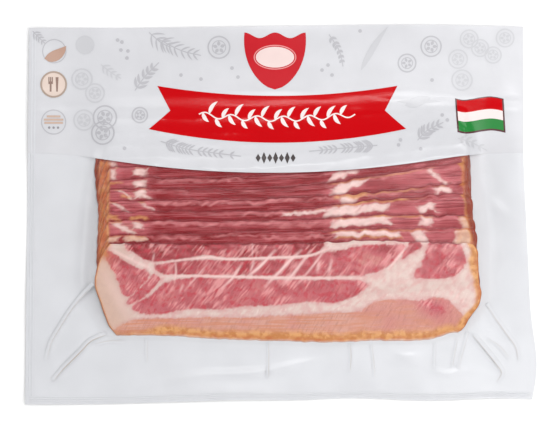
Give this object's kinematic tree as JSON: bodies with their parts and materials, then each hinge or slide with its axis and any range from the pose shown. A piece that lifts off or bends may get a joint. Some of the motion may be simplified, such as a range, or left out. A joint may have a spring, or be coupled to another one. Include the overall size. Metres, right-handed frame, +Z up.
{
  "type": "bacon pack",
  "caption": "Flat sealed vacuum pack of shingled bacon slices: white backing, clear window and a plain printed header, lying on its back.",
  "frame": {"origin": "centre of the bounding box's underside, on the surface the pack lies on", "axes": "+X across the pack, to the right when the header is away from the viewer; +Y towards the header; +Z up, away from the surface"},
  "size_m": [0.2554, 0.1895, 0.0129],
  "materials": {
    "white_web": "satin",
    "clear_film": "gloss",
    "bacon": "satin",
    "white_print": "gloss",
    "colour_print": "gloss"
  },
  "bodies": {
    "root": {"bacon_pack": "white_web"}
  },
  "joints": []
}
